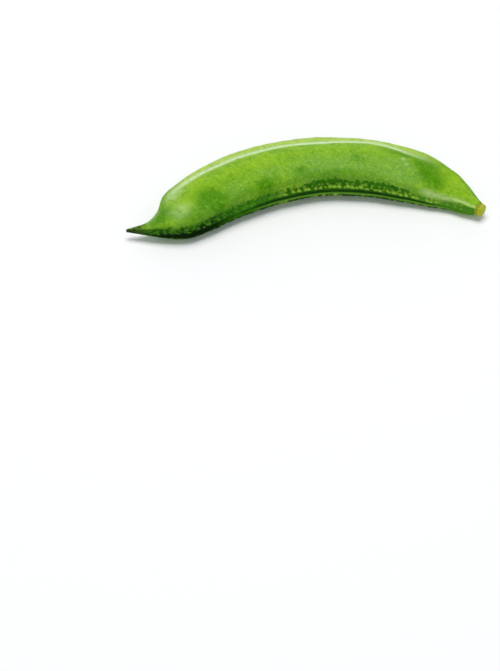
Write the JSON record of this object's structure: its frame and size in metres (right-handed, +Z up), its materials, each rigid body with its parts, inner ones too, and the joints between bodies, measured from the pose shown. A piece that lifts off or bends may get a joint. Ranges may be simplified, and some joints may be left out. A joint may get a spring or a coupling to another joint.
{
  "type": "hyacinth bean pod",
  "caption": "Fresh green hyacinth bean pod as picked: a flat curved pod with a warty inner seam, a hooked beak and a short stalk stub, lying on one side.",
  "frame": {"origin": "on the surface it lies on, under the middle of the pod's box", "axes": "+X towards the stalk end, -X towards the beak, +Y towards the back of the curve, +Z up from the surface through the pod's thickness"},
  "size_m": [0.1076, 0.0356, 0.0121],
  "materials": {
    "pod_skin": "fresh green pod skin, velvety satin, paler along the back ridge and darker in the warty belly seam",
    "stalk_fibre": "cut stalk fibre, matt, yellow-tan"
  },
  "bodies": {
    "root": {"pod": "pod_skin", "stalk_stub": "stalk_fibre"}
  },
  "joints": []
}
